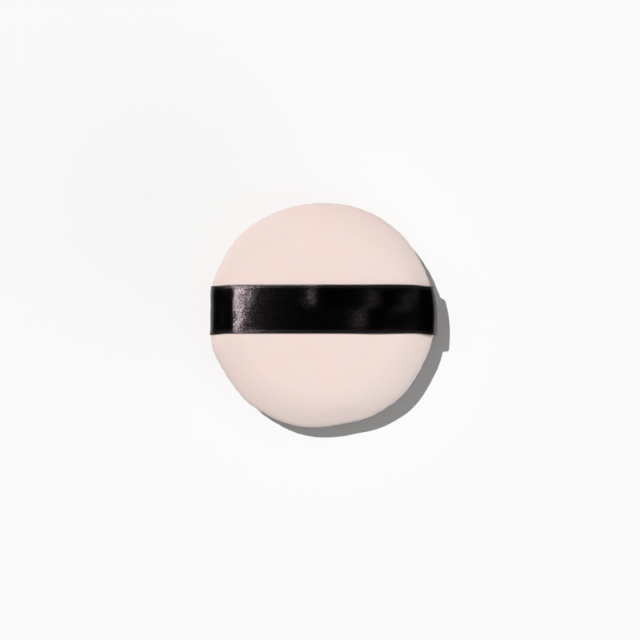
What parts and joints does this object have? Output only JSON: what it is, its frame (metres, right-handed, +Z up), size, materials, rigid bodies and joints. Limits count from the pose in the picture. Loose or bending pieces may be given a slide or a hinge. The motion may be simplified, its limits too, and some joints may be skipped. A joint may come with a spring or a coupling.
{
  "type": "powder puff",
  "caption": "Round velour powder puff with a foam core, a turned rim seam and a satin finger band across its back.",
  "frame": {"origin": "middle of the object's footprint, on the surface that the powder face rests on", "axes": "+X along the finger band; +Z up out of the back that carries the band"},
  "size_m": [0.0768, 0.075, 0.0161],
  "materials": {
    "velour": "matte short-pile velour, pinkish beige",
    "foam": "open-cell foam, off-white",
    "seam_thread": "spun polyester sewing thread, beige",
    "ribbon_thread": "spun polyester sewing thread, black",
    "satin": "glossy woven satin ribbon, black, with woven edges"
  },
  "bodies": {
    "puff": {"face_cover": "velour", "back_cover": "velour", "foam_core": "foam", "needle_thread": "seam_thread", "bobbin_thread": "seam_thread", "closing_stitches": "seam_thread", "ribbon_left_tack": "ribbon_thread", "ribbon_right_tack": "ribbon_thread", "ribbon_left_tail": "satin", "ribbon_right_tail": "satin", "ribbon_left_drop": "satin", "ribbon_right_drop": "satin"},
    "ribbon_band": {"ribbon_span": "satin"}
  },
  "joints": [
    {"name": "ribbon_lift", "type": "slide", "parent": "puff", "child": "ribbon_band", "axis": [0, 0, 1], "range_m": [0, 0.008], "deforming": ["ribbon_left_drop", "ribbon_right_drop"]}
  ]
}
